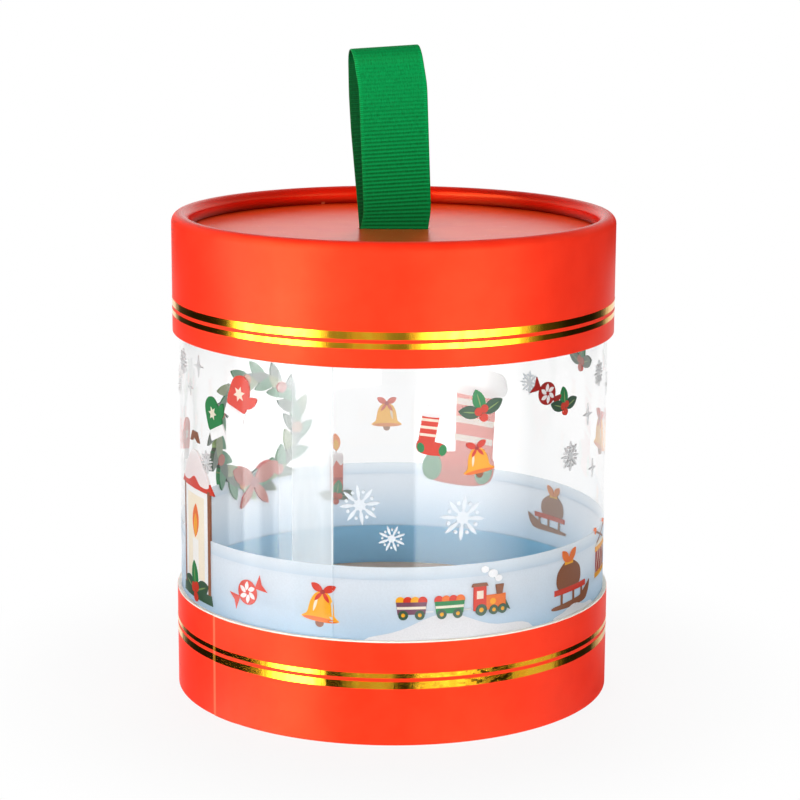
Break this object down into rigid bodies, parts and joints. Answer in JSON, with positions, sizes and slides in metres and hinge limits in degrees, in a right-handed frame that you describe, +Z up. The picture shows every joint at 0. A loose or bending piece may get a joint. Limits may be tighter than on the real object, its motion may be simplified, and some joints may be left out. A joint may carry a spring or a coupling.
{
  "type": "cylindrical gift tube box",
  "caption": "Round gift box with a paperboard base, a clear rolled window and a lift-off paperboard lid that has a rolled rim and a ribbon loop.",
  "frame": {"origin": "centre of the underside of the base", "axes": "+Z up the axis of the box, the front of the box and the flat side of the ribbon loop face -Y, +X to the right of the front"},
  "size_m": [0.125, 0.125, 0.1825],
  "materials": {
    "white_board": "raw cut solid board, white lined",
    "grey_board": "raw grey board",
    "kraft_board": "kraft lined board",
    "white_paper": "uncoated paper",
    "red_paper": "matt laminated paper",
    "satin_red_paper": "satin laminated paper",
    "gold_foil": "hot stamped mirror foil",
    "clear_film": "clear glossy film, printed",
    "green_ribbon": "ribbed woven ribbon"
  },
  "bodies": {
    "base": {"base_board_tube": "white_board", "base_wrap": "red_paper", "base_foil_stripe_lower": "gold_foil", "base_foil_stripe_upper": "gold_foil", "base_bottom_disc": "grey_board", "base_bottom_facing": "white_paper", "base_spacer_ring": "grey_board", "base_floor_disc": "kraft_board", "window_sheet": "clear_film"},
    "lid": {"lid_board_tube": "white_board", "lid_wrap": "red_paper", "lid_foil_stripe_lower": "gold_foil", "lid_foil_stripe_upper": "gold_foil", "lid_top_disc": "white_board", "lid_disc_facing": "satin_red_paper", "lid_stop_ring": "white_board", "ribbon_tails": "green_ribbon", "ribbon_patch": "white_paper"},
    "ribbon": {"ribbon_loop": "green_ribbon"}
  },
  "joints": [
    {"name": "lid_lift", "type": "slide", "parent": "base", "child": "lid", "axis": [0, 0, 1], "range_m": [0, 0.06]},
    {"name": "ribbon_fold", "type": "hinge", "parent": "lid", "child": "ribbon", "pos_m": [0, 0, 0.13225], "axis": [1, 0, 0], "range_deg": [-84, 84], "stiffness_Nm_per_rad": 0.002}
  ]
}
